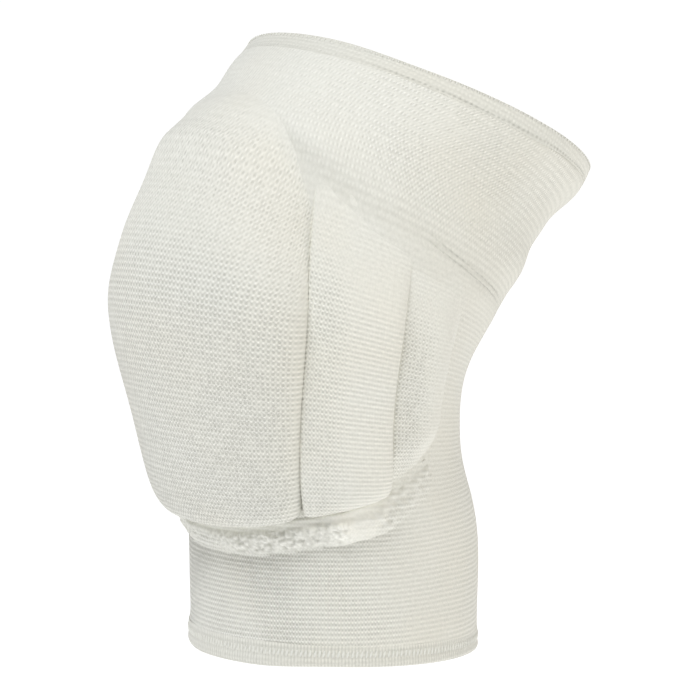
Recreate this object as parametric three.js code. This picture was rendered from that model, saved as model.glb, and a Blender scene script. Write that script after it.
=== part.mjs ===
// A knitted knee pad, shaped as it is worn on a bent knee: a sleeve that the leg goes through, a crowned pad
// over the kneecap, two upright pads on each side of it, a gathered roll of knit under them, and two hems.
import * as THREE from "three";

// Lengths are in millimetres and angles in degrees. +Z runs up the shin, -Y points out of the front of the knee
// and +X lies across it, to the right as seen from the front. The origin is the centre of the knee, inside the
// sleeve.

// The leg that the sleeve is stretched over
const shinLength = 93; // knee centre down to the lower end of the knitted tube
const thighLength = 85; // knee centre up to the upper end of the knitted tube
const kneeBend = 30; // how far the thigh leans back from the shin
const bendLength = 90; // stretch of the leg's centreline that turns
const calfSize = 95;
const kneeSize = 104;
const thighSize = 122;

// The knit
const wallThickness = 2.4;
const clearance = 0.3; // between pieces that touch
const hemThickness = 3.4;
const hemRounding = 1.2;
const hemRoundingShare = 0.45; // the most that the rounding may be of a hem's thickness
const thighSlant = 5; // how much lower the upper end is cut at the front than at the sides
const calfSlant = 2; // how much higher the lower end is cut at the front than at the sides
const slantPower = 3; // how fast the slant dies out towards the knee
const thighHemHeight = 6;
const calfHemHeight = 6;

// The pads. They sit in pockets of the knit and reach out from the sleeve.
const kneecapPadThickness = 23;
const frontSidePadThickness = 11;
const rearSidePadThickness = 7;
const sidePadFrontShare = 0.7; // a side pad's thickness at its front edge, against its rear edge
const padEdgeThickness = 1;
const cornerPull = 0.05; // how far a pad's corners are drawn in, a share of its half sizes
const padSeam = 1; // strip of knit between neighbouring pads
const pocketBelow = 50; // knee centre down to the kneecap pad's lower edge
const pocketAbove = 54; // knee centre up to the kneecap pad's upper edge
const kneecapPadAngle = 44; // from the front round to the kneecap pad's side edge
const frontSidePadWidth = 27; // round the leg
const rearSidePadWidth = 26; // round the leg

// The gathered roll under the pads
const gatherAngle = 96; // from the front round to the end of the roll
const gatherHeight = 8;
const gatherThickness = 4.5;
const gatherGap = 3; // pads' lower edge down to the roll

// How squarely the faces of the cushions meet their rims: 2 is round, and a higher power is blunter
const kneecapPadRim = { sides: 4, lower: 14, upper: 4 };
const sidePadRim = { sides: 3, lower: 6, upper: 6 };
const gatherRim = { sides: 3, lower: 2, upper: 2 };

// Sections across the leg, from the lower end to the upper end. along is a share of the shin below the knee
// centre, where it is negative, and of the thigh above it. forward, width, front and back are shares of size:
// how far the section's middle lies in front of the centreline, and its reach to each side, front and back.
const sections = [
  { along: -1.0, size: calfSize, forward: 0.0, width: 0.5, front: 0.5, back: 0.5 },
  { along: -0.6, size: calfSize, forward: 0.0, width: 0.5, front: 0.51, back: 0.49 },
  { along: -0.25, size: kneeSize, forward: 0.06, width: 0.46, front: 0.49, back: 0.4 },
  { along: 0.0, size: kneeSize, forward: 0.09, width: 0.48, front: 0.52, back: 0.4 },
  { along: 0.4, size: kneeSize, forward: 0.13, width: 0.52, front: 0.58, back: 0.52 },
  { along: 0.7, size: thighSize, forward: 0.11, width: 0.435, front: 0.55, back: 0.475 },
  { along: 1.0, size: thighSize, forward: 0.04, width: 0.48, front: 0.53, back: 0.48 },
];

// Lower and upper edges of the pads round the leg. below is a share of pocketBelow and above of pocketAbove.
// The first row repeats the third past the front, so that the edges are level there.
const pocketEdges = [
  { angle: -20, below: 0.98, above: 0.92 },
  { angle: 0, below: 1.0, above: 1.0 },
  { angle: 20, below: 0.98, above: 0.92 },
  { angle: 44, below: 0.91, above: 0.68 },
  { angle: 60, below: 0.86, above: 0.56 },
  { angle: 74, below: 0.78, above: 0.52 },
  { angle: 100, below: 0.48, above: 0.48 },
];

// The kneecap pad from its lower edge to its upper edge: reach is a share of kneecapPadAngle, height of its
// thickness.
const kneecapPadShape = [
  { along: -1.0, reach: 0.93, height: 0.48 },
  { along: -0.5, reach: 0.99, height: 0.63 },
  { along: 0.0, reach: 1.0, height: 0.94 },
  { along: 0.4, reach: 0.98, height: 1.0 },
  { along: 0.75, reach: 0.92, height: 0.86 },
  { along: 1.0, reach: 0.86, height: 0.76 },
];

// A hem's rounded edge, from its end face inwards, in shares of hemRounding: inward is measured along the
// leg, and trim is what the edge takes off both faces.
const hemEdge = [
  { inward: 0, trim: 1 },
  { inward: 0.3, trim: 0.3 },
  { inward: 1, trim: 0 },
];

const segmentsRound = 42; // facets round the leg
const bandsAlong = 22; // facets along the sleeve
const cornerPower = 8; // how close to its corners a cushion starts to round them
const radians = THREE.MathUtils.degToRad;

// Smooth values between the rows of a table: a cubic through the rows, with each row's slope from its
// neighbours.
function between(rows, key, column, at) {
  const last = rows.length - 1;
  const clamped = Math.min(Math.max(at, rows[0][key]), rows[last][key]);
  let i = 0;
  while (i < last - 1 && clamped > rows[i + 1][key]) i += 1;
  const slope = (k) => {
    const low = rows[Math.max(k - 1, 0)];
    const high = rows[Math.min(k + 1, last)];
    return (high[column] - low[column]) / (high[key] - low[key]);
  };
  const step = rows[i + 1][key] - rows[i][key];
  const t = (clamped - rows[i][key]) / step;
  const [t2, t3] = [t * t, t * t * t];
  return (
    rows[i][column] * (2 * t3 - 3 * t2 + 1) +
    rows[i + 1][column] * (3 * t2 - 2 * t3) +
    slope(i) * step * (t3 - 2 * t2 + t) +
    slope(i + 1) * step * (t3 - t2)
  );
}

// The sections in millimetres
const leg = sections.map((row) => ({
  along: row.along * (row.along < 0 ? shinLength : thighLength),
  forward: row.forward * row.size,
  width: row.width * row.size,
  front: row.front * row.size,
  back: row.back * row.size,
}));

// The centreline: straight up the shin, an arc round the knee centre, and straight along the thigh
function centreline(along) {
  const radius = bendLength / radians(kneeBend);
  const half = bendLength / 2;
  const turned = Math.min(Math.max(along, -half), half) / radius;
  const middle = radians(kneeBend) / 2;
  const lean = middle + turned;
  const beyond = along - turned * radius;
  return {
    lean,
    y: radius * (Math.cos(middle) - Math.cos(lean)) + beyond * Math.sin(lean),
    z: radius * (Math.sin(lean) - Math.sin(middle)) + beyond * Math.cos(lean),
  };
}

// A point on the sleeve's inner face. angle goes round from the front, positive towards +X.
function skin(angle, along) {
  const { lean, y, z } = centreline(along);
  const a = radians(angle);
  const reach = between(leg, "along", Math.cos(a) > 0 ? "front" : "back", along);
  const forward = between(leg, "along", "forward", along) + reach * Math.cos(a);
  return new THREE.Vector3(
    between(leg, "along", "width", along) * Math.sin(a),
    y - forward * Math.cos(lean),
    z + forward * Math.sin(lean),
  );
}

// The same point moved out by a distance, square to the skin
function raised(angle, along, height) {
  const step = 0.5;
  const round = skin(angle + step, along).sub(skin(angle - step, along));
  const up = skin(angle, along + step).sub(skin(angle, along - step));
  return skin(angle, along).addScaledVector(round.cross(up).normalize(), height);
}

// Moves every vertex of a geometry to where place(x, y, z) puts it
function reshape(geometry, place) {
  const position = geometry.getAttribute("position");
  for (let i = 0; i < position.count; i += 1) {
    const p = place(position.getX(i), position.getY(i), position.getZ(i));
    position.setXYZ(i, p.x, p.y, p.z);
  }
  geometry.computeVertexNormals();
  return geometry;
}

// Both ends are cut on a slant, which dies out towards the knee
function slant(angle, along) {
  const share = Math.min(Math.abs(along) / (along < 0 ? shinLength : thighLength), 1);
  return (along < 0 ? calfSlant : -thighSlant) * share ** slantPower * Math.cos(radians(angle));
}

// A tube round the leg. Its rows are {along, inner, outer}, the last two as heights over the skin. It is turned
// as two plain rings of faces, one inside the other, and the radius tells which of them a vertex is on.
function tube(rows, segments) {
  const outerRadius = 2;
  const innerRadius = 1;
  const outside = rows.map((row, i) => new THREE.Vector2(outerRadius, i));
  const inside = rows.map((row, i) => new THREE.Vector2(innerRadius, i)).reverse();
  const profile = [...outside, ...inside, outside[0].clone()];
  return reshape(new THREE.LatheGeometry(profile, segments), (x, y, z) => {
    const row = rows[Math.round(y)];
    const angle = THREE.MathUtils.radToDeg(Math.atan2(x, z));
    const along = row.along + slant(angle, row.along);
    const isOutside = Math.hypot(x, z) > (innerRadius + outerRadius) / 2;
    return raised(angle, along, isOutside ? row.outer : row.inner);
  });
}

// A cushion seated on the sleeve, with closer facets towards its rim. place turns shares of its half width and
// half length, -1 to 1, into an angle and a distance along the leg, and swell into a share of its thickness.
function cushion({ columns, rows, thickness, corners, place, swell }) {
  const seat = wallThickness + clearance;
  return reshape(new THREE.BoxGeometry(2, 2, 1, columns, rows, 1), (x, y, z) => {
    const u = Math.sin((x * Math.PI) / 2);
    const v = Math.sin((y * Math.PI) / 2);
    const p = u * (1 - corners * v ** cornerPower);
    const q = v * (1 - corners * u ** cornerPower);
    const { angle, along } = place(p, q);
    const top = padEdgeThickness + (thickness - padEdgeThickness) * swell(u, v);
    return raised(angle, along, z < 0 ? seat : seat + top);
  });
}

// Falls from 1 in the middle to 0 at the rim, more steeply at the rim the higher the power
const dome = (share, power) => Math.sqrt(Math.max(1 - Math.abs(share) ** power, 0));

const crown = (u, v, rim) => dome(u, rim.sides) * dome(v, v < 0 ? rim.lower : rim.upper);

function knitSleeve() {
  const rows = Array.from({ length: bandsAlong + 1 }, (_, i) => ({
    along: THREE.MathUtils.lerp(-shinLength, thighLength, i / bandsAlong),
    inner: 0,
    outer: wallThickness,
  }));
  return tube(rows, segmentsRound);
}

// A hem: a thicker ring of knit with rounded edges, past the end of the sleeve
function hem(from, to) {
  const overhang = (hemThickness - wallThickness) / 2;
  const rounding = Math.min(hemRounding, hemRoundingShare * hemThickness);
  const edge = (end, inwards) =>
    hemEdge.map((row) => ({
      along: end + inwards * row.inward * rounding,
      inner: row.trim * rounding - overhang,
      outer: wallThickness + overhang - row.trim * rounding,
    }));
  const ring = [...edge(from, 1), ...edge(to, -1).reverse()];
  return tube(ring, segmentsRound);
}

const lowerEdge = (angle) => -pocketBelow * between(pocketEdges, "angle", "below", Math.abs(angle));
const upperEdge = (angle) => pocketAbove * between(pocketEdges, "angle", "above", Math.abs(angle));

// The kneecap pad's side edge, a share of the way, -1 to 1, up the pocket
const kneecapEdge = (share) => kneecapPadAngle * between(kneecapPadShape, "along", "reach", share);

// The place a share of the way up the pocket
function upThePocket(angle, share) {
  return { angle, along: THREE.MathUtils.lerp(lowerEdge(angle), upperEdge(angle), (share + 1) / 2) };
}

function kneecapPad() {
  return cushion({
    columns: 18,
    rows: 26,
    thickness: kneecapPadThickness,
    corners: cornerPull,
    place: (p, q) => upThePocket(p * kneecapEdge(q), q),
    swell: (u, v) => crown(u, v, kneecapPadRim) * between(kneecapPadShape, "along", "height", v),
  });
}

// Round the leg, in degrees
const aroundKnee = (length) => THREE.MathUtils.radToDeg(length / (kneeSize / 2));

// A side pad on one side, 1 for +X and -1 for -X. start gives its front edge, a share of the way up the pocket.
function sidePad(side, start, end, thickness) {
  return cushion({
    columns: 8,
    rows: 18,
    thickness,
    corners: cornerPull,
    place: (p, q) => {
      const { angle, along } = upThePocket(THREE.MathUtils.lerp(start(q), end, (side * p + 1) / 2), q);
      return { angle: side * angle, along };
    },
    swell: (u, v) => crown(u, v, sidePadRim) * THREE.MathUtils.lerp(sidePadFrontShare, 1, (side * u + 1) / 2),
  });
}

const frontSidePadEnd = kneecapPadAngle + aroundKnee(padSeam + frontSidePadWidth);
const rearSidePadStart = frontSidePadEnd + aroundKnee(padSeam);
const rearSidePadEnd = rearSidePadStart + aroundKnee(rearSidePadWidth);

function frontSidePad(side) {
  const start = (share) => kneecapEdge(share) + aroundKnee(padSeam);
  return sidePad(side, start, frontSidePadEnd, frontSidePadThickness);
}

function rearSidePad(side) {
  return sidePad(side, () => rearSidePadStart, rearSidePadEnd, rearSidePadThickness);
}

function lowerGather() {
  return cushion({
    columns: 40,
    rows: 6,
    thickness: gatherThickness,
    corners: 0,
    place: (p, q) => {
      const angle = p * gatherAngle;
      return { angle, along: lowerEdge(angle) - gatherGap + ((q - 1) * gatherHeight) / 2 };
    },
    swell: (u, v) => crown(u, v, gatherRim),
  });
}

const knit = new THREE.MeshStandardMaterial({ color: 0xe9e8df, roughness: 0.95, metalness: 0 });
const paddedKnit = new THREE.MeshStandardMaterial({ color: 0xe3e2d9, roughness: 0.95, metalness: 0 });
const stitchedKnit = new THREE.MeshStandardMaterial({ color: 0xd6d6cb, roughness: 0.9, metalness: 0 });

const part = new THREE.Group();
function add(name, geometry, material) {
  const mesh = new THREE.Mesh(geometry, material);
  mesh.name = name;
  part.add(mesh);
}
add("knit_sleeve", knitSleeve(), knit);
add("thigh_hem", hem(thighLength + clearance, thighLength + clearance + thighHemHeight), stitchedKnit);
add("calf_hem", hem(-shinLength - clearance - calfHemHeight, -shinLength - clearance), stitchedKnit);
add("kneecap_pad", kneecapPad(), paddedKnit);
for (const [name, side] of [["right", 1], ["left", -1]]) {
  add(`side_pad_front_${name}`, frontSidePad(side), paddedKnit);
  add(`side_pad_rear_${name}`, rearSidePad(side), paddedKnit);
}
add("lower_gather", lowerGather(), stitchedKnit);

export default part;
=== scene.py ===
"""The looks of a knitted knee pad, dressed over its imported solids."""
import math

import bmesh
import bpy
import numpy as np
from mathutils import Matrix, Vector


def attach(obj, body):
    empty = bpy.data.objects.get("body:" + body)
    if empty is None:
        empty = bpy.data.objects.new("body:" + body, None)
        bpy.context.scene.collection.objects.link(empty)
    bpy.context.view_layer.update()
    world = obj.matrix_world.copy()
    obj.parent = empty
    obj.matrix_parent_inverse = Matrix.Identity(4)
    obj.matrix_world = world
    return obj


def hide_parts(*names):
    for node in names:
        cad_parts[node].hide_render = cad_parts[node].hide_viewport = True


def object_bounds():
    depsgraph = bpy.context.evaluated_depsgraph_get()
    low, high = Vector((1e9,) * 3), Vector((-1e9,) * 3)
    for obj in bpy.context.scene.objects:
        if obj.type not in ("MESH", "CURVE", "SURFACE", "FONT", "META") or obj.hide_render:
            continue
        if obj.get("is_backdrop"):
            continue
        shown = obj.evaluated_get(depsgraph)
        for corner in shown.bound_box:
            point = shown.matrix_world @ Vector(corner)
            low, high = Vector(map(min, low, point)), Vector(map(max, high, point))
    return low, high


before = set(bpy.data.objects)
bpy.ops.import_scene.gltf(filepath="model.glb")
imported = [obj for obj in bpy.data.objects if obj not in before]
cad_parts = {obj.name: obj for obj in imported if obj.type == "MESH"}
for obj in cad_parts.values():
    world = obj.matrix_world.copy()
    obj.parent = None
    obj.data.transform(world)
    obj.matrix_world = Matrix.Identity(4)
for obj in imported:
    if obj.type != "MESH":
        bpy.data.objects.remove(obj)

bl_info = {
    "name": "Knitted knee pad",
    "version": (1, 0, 0),
    "blender": (4, 5, 0),
    "location": "3D View > Sidebar > Knee pad",
    "description": "Knits, pads and hems a knee pad in the shape that a bent knee gives it",
    "category": "Add Mesh",
}

# Lengths are in metres and angles in degrees, measured as in the solids: angle goes round the leg from the front,
# positive towards +X, and along goes up its centreline from the knee.
SHIN_LENGTH = 0.093
THIGH_LENGTH = 0.085
KNEE_BEND = 30
BEND_LENGTH = 0.090
CALF_SIZE = 0.095
KNEE_SIZE = 0.104
THIGH_SIZE = 0.122
WALL_THICKNESS = 0.0024
CLEARANCE = 0.0003
HEM_THICKNESS = 0.0034
THIGH_HEM_HEIGHT = 0.006
CALF_HEM_HEIGHT = 0.006
THIGH_SLANT = 0.005
CALF_SLANT = 0.002
SLANT_POWER = 3
POCKET_BELOW = 0.050
POCKET_ABOVE = 0.054
KNEECAP_PAD_THICKNESS = 0.023
KNEECAP_PAD_ANGLE = 44
FRONT_SIDE_PAD_THICKNESS = 0.011
REAR_SIDE_PAD_THICKNESS = 0.007
FRONT_SIDE_PAD_WIDTH = 0.027
REAR_SIDE_PAD_WIDTH = 0.026
PAD_SEAM = 0.001
CORNER_PULL = 0.05
CORNER_POWER = 8
GATHER_ANGLE = 96
GATHER_HEIGHT = 0.008
GATHER_GAP = 0.003


def table(names, *rows):
    """Rows of values under the names, which stand in one text."""
    return tuple(dict(zip(names.split(), row)) for row in rows)


# Sections across the leg, with their middle and reaches as shares of size
SECTIONS = table(
    "along size forward width front back",
    (-1.0, CALF_SIZE, 0.0, 0.5, 0.5, 0.5),
    (-0.6, CALF_SIZE, 0.0, 0.5, 0.51, 0.49),
    (-0.25, KNEE_SIZE, 0.06, 0.46, 0.49, 0.4),
    (0.0, KNEE_SIZE, 0.09, 0.48, 0.52, 0.4),
    (0.4, KNEE_SIZE, 0.13, 0.52, 0.58, 0.52),
    (0.7, THIGH_SIZE, 0.11, 0.435, 0.55, 0.475),
    (1.0, THIGH_SIZE, 0.04, 0.48, 0.53, 0.48),
)

# Lower and upper edges of the pads round the leg, as shares of POCKET_BELOW and POCKET_ABOVE
POCKET_EDGES = table(
    "angle below above",
    (-20, 0.98, 0.92),
    (0, 1.0, 1.0),
    (20, 0.98, 0.92),
    (44, 0.91, 0.68),
    (60, 0.86, 0.56),
    (74, 0.78, 0.52),
    (100, 0.48, 0.48),
)

# The kneecap pad from its lower edge to its upper edge: its side edge's angle and its height, as shares
KNEECAP_PAD_SHAPE = table(
    "along reach height",
    (-1.0, 0.93, 0.48),
    (-0.5, 0.99, 0.63),
    (0.0, 1.0, 0.94),
    (0.4, 0.98, 1.0),
    (0.75, 0.92, 0.86),
    (1.0, 0.86, 0.76),
)

# The seam over the pads, round the leg: where it runs
UPPER_SEAM = table(
    "angle along",
    (0, 0.0555),
    (20, 0.0515),
    (38, 0.0425),
    (55, 0.0385),
    (70, 0.0382),
    (98, 0.0348),
    (140, 0.0330),
    (180, 0.0320),
)

# Folds that the bend presses into the knit behind the knee: where each crosses the middle of the back, how much it
# climbs towards the sides, how wide it is, how deep, as a share of the deepest, and the angle where it runs out
BACK_FOLDS = table(
    "along climb width depth start",
    (0.024, 0.006, 0.0038, 0.6, 158),
    (0.008, 0.003, 0.0032, 1.0, 148),
    (-0.007, -0.001, 0.0034, 0.8, 154),
    (-0.022, -0.005, 0.0044, 0.45, 162),
)

# Where the stretched sleeve swells or dips: from which angle to which and how softly that ends, and where along the
# leg, how wide and how high
SLEEVE_SWELLS = table(
    "first last fade along width height",
    (-60, 44, 14, 0.0515, 0.0070, 0.0042),
    (26, 46, 12, 0.0435, 0.0085, 0.0030),
    (-60, 42, 16, 0.0645, 0.0085, -0.0017),
    (112, 152, 16, 0.0510, 0.0090, 0.0026),
    (112, 152, 16, 0.0765, 0.0070, -0.0022),
)

PER_DEGREE = KNEE_SIZE / 2 * math.pi / 180  # metres of knit to a degree round the knee
FLAP_DEPTH = 0.00015  # how far the edge of gathered knit sinks into the sleeve's
POCKET_FLAP_DEPTH = 0.0006  # how far the edge of a pocket sinks into the sleeve's knit
RIM_HEIGHT = 0.0003  # least height of a pad over its seat
KNIT_STRETCH_START = 0.034  # where along the leg the thigh begins to stretch the knit
PAD_CLOSENESS = 1.29  # how much closer the rows lie on the pads than on the sleeve
THIGH_STRETCH = 0.78  # how close the rows lie on the thigh, against the sleeve's
HEM_FADE = 0.006  # the sleeve's relief dies away over this length towards each hem
HEM_GROWTH = 0.22  # how much taller the hems are in front
KNEECAP_OVERLAP = 0.0016  # how far a front side pad's cover reaches under the kneecap pad's rim
SIDE_OVERLAP = 0.0010  # how far a rear side pad's cover reaches under the front one's rim
GATHER_SPARE = 0.0016  # how far the gathered knit reaches past its solid
KNEECAP_RUN = 0.16  # how far the kneecap pad's cover runs past its top, as a share of half the pocket
SIDE_RUN = 0.14  # the same for the side pads
SWELL_FRAMES = 20  # how long the pads swell as cloth
PAPER_GLOW = 0.86  # the floor's own light, which keeps it white
BODY = "root"


def columns_of(rows, *names):
    """The named columns of a table, each as an array."""
    return [np.array([row[name] for row in rows], float) for name in names]


def between(rows, key, column, at):
    """Smooth values between the rows of a table: a cubic whose slopes come from each row's neighbours."""
    keys, values = columns_of(rows, key, column)
    last = len(rows) - 1
    above = np.minimum(np.arange(last + 1) + 1, last)
    below = np.maximum(np.arange(last + 1) - 1, 0)
    slopes = (values[above] - values[below]) / (keys[above] - keys[below])
    at = np.clip(at, keys[0], keys[last])
    i = np.clip(np.searchsorted(keys, at, side="left") - 1, 0, last - 1)
    step = keys[i + 1] - keys[i]
    t = (at - keys[i]) / step
    return (
        values[i] * (2 * t**3 - 3 * t**2 + 1)
        + values[i + 1] * (3 * t**2 - 2 * t**3)
        + slopes[i] * step * (t**3 - 2 * t**2 + t)
        + slopes[i + 1] * step * (t**3 - t**2)
    )


LEG = tuple(
    {
        "along": row["along"] * (SHIN_LENGTH if row["along"] < 0 else THIGH_LENGTH),
        **{name: row[name] * row["size"] for name in ("forward", "width", "front", "back")},
    }
    for row in SECTIONS
)


def centreline(along):
    """The leg's centreline: how far it leans, and its y and z."""
    radius = BEND_LENGTH / math.radians(KNEE_BEND)
    turned = np.clip(along, -BEND_LENGTH / 2, BEND_LENGTH / 2) / radius
    middle = math.radians(KNEE_BEND) / 2
    lean = middle + turned
    beyond = along - turned * radius
    y = radius * (math.cos(middle) - np.cos(lean)) + beyond * np.sin(lean)
    z = radius * (np.sin(lean) - math.sin(middle)) + beyond * np.cos(lean)
    return lean, y, z


def skin(angle, along):
    """Points on the sleeve's inner face."""
    lean, y, z = centreline(along)
    a = np.radians(angle)
    reach = np.where(np.cos(a) > 0, between(LEG, "along", "front", along), between(LEG, "along", "back", along))
    forward = between(LEG, "along", "forward", along) + reach * np.cos(a)
    x = between(LEG, "along", "width", along) * np.sin(a)
    return np.stack([x, y - forward * np.cos(lean), z + forward * np.sin(lean)], axis=-1)


def facing(angle, along):
    """Unit vectors out of the skin."""
    step, rise = 0.5, 0.0005
    around = skin(angle + step, along) - skin(angle - step, along)
    up = skin(angle, along + rise) - skin(angle, along - rise)
    out = np.cross(around, up)
    return out / np.linalg.norm(out, axis=-1, keepdims=True)


def raised(angle, along, height):
    """Points at a height over the skin."""
    return skin(angle, along) + facing(angle, along) * np.asarray(height)[..., None]


def slanted(angle, along):
    """along, moved as the slanted cut of both ends moves it."""
    below = along < 0
    share = np.minimum(np.abs(along) / np.where(below, SHIN_LENGTH, THIGH_LENGTH), 1)
    reach = np.where(below, CALF_SLANT, -THIGH_SLANT)
    return along + reach * share**SLANT_POWER * np.cos(np.radians(angle))


def lower_edge(angle):
    return -POCKET_BELOW * between(POCKET_EDGES, "angle", "below", np.abs(angle))


def upper_edge(angle):
    return POCKET_ABOVE * between(POCKET_EDGES, "angle", "above", np.abs(angle))


def kneecap_edge(share):
    return KNEECAP_PAD_ANGLE * between(KNEECAP_PAD_SHAPE, "along", "reach", share)


def up_the_pocket(angle, share):
    """along, a share of the way, -1 to 1, up the pocket at an angle."""
    low = lower_edge(angle)
    return low + (upper_edge(angle) - low) * (share + 1) / 2


def step_up(low, high, at):
    """0 below low and 1 above high, with a smooth climb between them. low may be the larger."""
    t = np.clip((at - low) / (high - low), 0, 1)
    return t * t * (3 - 2 * t)


def ridge(at, middle, width):
    """1 at the middle and close to 0 beyond twice the width."""
    return np.exp(-(((at - middle) / width) ** 2))


def dome(share, power):
    """1 in the middle and 0 at the rim, blunter the higher the power."""
    return np.sqrt(np.maximum(1 - np.abs(share) ** power, 0))


def wander(x, y, size, seed):
    """Smooth random values of about -1 to 1, with swells of a size. The same every time."""
    random = np.random.default_rng(seed)
    total = np.zeros(np.broadcast(x, y).shape)
    waves = 7
    for _ in range(waves):
        heading = random.uniform(0, 2 * math.pi)
        length = size * random.uniform(0.75, 1.5)
        phase = random.uniform(0, 2 * math.pi)
        total += np.sin((x * math.cos(heading) + y * math.sin(heading)) * 2 * math.pi / length + phase)
    return total / math.sqrt(waves)


def bobbles(x, y, size, seed):
    """Rounded lumps of about a size that crowd each other: 1 on their tops and 0 in the pits between them."""
    random = np.random.default_rng(seed)
    column, row = np.floor(x / size).astype(int), np.floor(y / size).astype(int)
    tall, wide = row.max() - row.min() + 5, column.max() - column.min() + 5
    shift = random.uniform(0.12, 0.88, (tall, wide, 2))
    bulk = random.uniform(0.75, 1.15, (tall, wide))
    nearest = np.full(x.shape, 9.0)
    for i in (-1, 0, 1):
        for j in (-1, 0, 1):
            r, c = row - row.min() + 2 + j, column - column.min() + 2 + i
            away_x = x / size - (column + i + shift[r, c, 0])
            away_y = y / size - (row + j + shift[r, c, 1])
            nearest = np.minimum(nearest, np.hypot(away_x, away_y) / bulk[r, c])
    return np.sqrt(np.maximum(1 - (nearest / 0.66) ** 2, 0))


# Settings


def length(name, description, default):
    return bpy.props.FloatProperty(name=name, description=description, default=default, unit="LENGTH", precision=5)


def share(name, description, default):
    return bpy.props.FloatProperty(name=name, description=description, default=default, subtype="FACTOR", min=0, max=1)


def colour(name, description, default):
    return bpy.props.FloatVectorProperty(
        name=name, description=description, default=default, subtype="COLOR", size=4, min=0, max=1
    )


class KnitSettings(bpy.types.PropertyGroup):
    """The yarn and its stitches."""

    yarn: colour("Yarn", "Colour of the raised yarn", (0.97, 0.967, 0.905, 1))
    # depth is the colour of the painted shade between the stitches, so the yarn colour on the bead tops reads as a
    # painted highlight.
    depth: colour("Depth", "Colour between the stitches", (0.43, 0.43, 0.375, 1))
    # warm colours the knit's random warmer patches and also the painted warm light towards the sides and back.
    warm: colour("Warm yarn", "Colour of the warmer patches", (0.97, 0.935, 0.83, 1))
    wale: length("Stitch width", "Width of a stitch", 0.00116)
    course: length("Course height", "Height of a course of stitches on the sleeve", 0.00168)
    relief: length("Stitch relief", "How far a stitch stands out", 0.00032)


class PadSettings(bpy.types.PropertyGroup):
    """The padded pockets."""

    pressure: bpy.props.FloatProperty(name="Pressure", description="What swells the pads", default=4.0, min=0)
    reach: length("Longest swell", "The most that a point of a pad may move as it swells", 0.005)
    start: share("Start", "Height of a pad before it swells, against its full height", 0.96)
    fill: share("Fill", "How tightly the pads are filled", 0.85)


class SleeveSettings(bpy.types.PropertyGroup):
    """The folds of the sleeve."""

    fold: length("Fold depth", "Depth of the folds behind the knee", 0.0016)
    pucker: length("Pucker height", "Height of the puckers over the pads", 0.0005)


class GatherSettings(bpy.types.PropertyGroup):
    """The gathered roll."""

    lump: length("Lump size", "Width of a lump of gathered knit", 0.0019)
    depth: length("Pit depth", "Depth of the pits between the lumps", 0.0010)
    nub: length("Nub size", "Width of the small nubs on the lumps", 0.0011)


class HemSettings(bpy.types.PropertyGroup):
    """The overlocked hems."""

    spacing: length("Stitch spacing", "Distance between overlock stitches", 0.00165)
    stitch: length("Stitch length", "Length of an overlock stitch", 0.0027)
    thread: length("Thread width", "Width of the overlock thread", 0.0008)


class StageSettings(bpy.types.PropertyGroup):
    """Camera, lamps and floor."""

    azimuth: bpy.props.FloatProperty(
        name="Azimuth", description="Camera's way round the knee", default=math.radians(48.6), subtype="ANGLE"
    )
    elevation: bpy.props.FloatProperty(
        name="Elevation", description="Camera's angle above level", default=math.radians(8.0), subtype="ANGLE"
    )
    distance: length("Distance", "Camera to what it looks at", 1.6)
    lens: bpy.props.FloatProperty(name="Lens", description="Focal length", default=238.5, subtype="DISTANCE_CAMERA")
    key: bpy.props.FloatProperty(name="Key lamp", description="Power of the main lamp", default=11.2, unit="POWER")
    side: bpy.props.FloatProperty(name="Side lamp", description="Power of the warm lamp", default=2.4, unit="POWER")
    sky: bpy.props.FloatProperty(name="Surround", description="Strength of the white surround", default=0.44, min=0)
    drop: length("Floor drop", "How far the floor lies below the lower hem", 0.12)
    paper: colour("Floor", "Colour of the floor", (0.4, 0.4, 0.4, 1))


GROUPS = (KnitSettings, PadSettings, SleeveSettings, GatherSettings, HemSettings, StageSettings)


class KneePadSettings(bpy.types.PropertyGroup):
    """All the sizes and colours of the knee pad."""

    knit: bpy.props.PointerProperty(type=KnitSettings, name="Knit", description="Yarn and stitches")
    pads: bpy.props.PointerProperty(type=PadSettings, name="Pads", description="Padded pockets")
    sleeve: bpy.props.PointerProperty(type=SleeveSettings, name="Sleeve", description="Folds of the sleeve")
    gather: bpy.props.PointerProperty(type=GatherSettings, name="Gather", description="Gathered roll")
    hems: bpy.props.PointerProperty(type=HemSettings, name="Hems", description="Overlocked hems")
    stage: bpy.props.PointerProperty(type=StageSettings, name="Stage", description="Camera, lamps and floor")


def settings():
    return bpy.context.scene.knee_pad


# Materials


def new_material(name):
    """An empty node material. Returns it with its node tree and its shader."""
    material = bpy.data.materials.new(name)
    material.use_nodes = True
    return material, material.node_tree, material.node_tree.nodes["Principled BSDF"]


def put(tree, kind, inputs=None, **values):
    """Adds a node, sets its values, and sets or joins its inputs."""
    node = tree.nodes.new(kind)
    for name, value in values.items():
        setattr(node, name, value)
    for socket, value in (inputs or {}).items():
        if isinstance(value, bpy.types.NodeSocket):
            tree.links.new(value, node.inputs[socket])
        else:
            node.inputs[socket].default_value = value
    return node


def sum_up(tree, operation, *values):
    """What a Math node makes of one, two or three values."""
    return put(tree, "ShaderNodeMath", dict(enumerate(values)), operation=operation).outputs[0]


def new_group(name, takes, gives):
    """An empty shader node group with named sockets. Returns it with its inputs and its output node."""
    group = bpy.data.node_groups.new(name, "ShaderNodeTree")
    for socket, kind, default in takes:
        made = group.interface.new_socket(socket, in_out="INPUT", socket_type=kind)
        if default is not None:
            made.default_value = default
    for socket, kind in gives:
        group.interface.new_socket(socket, in_out="OUTPUT", socket_type=kind)
    return group, group.nodes.new("NodeGroupInput").outputs, group.nodes.new("NodeGroupOutput")


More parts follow.
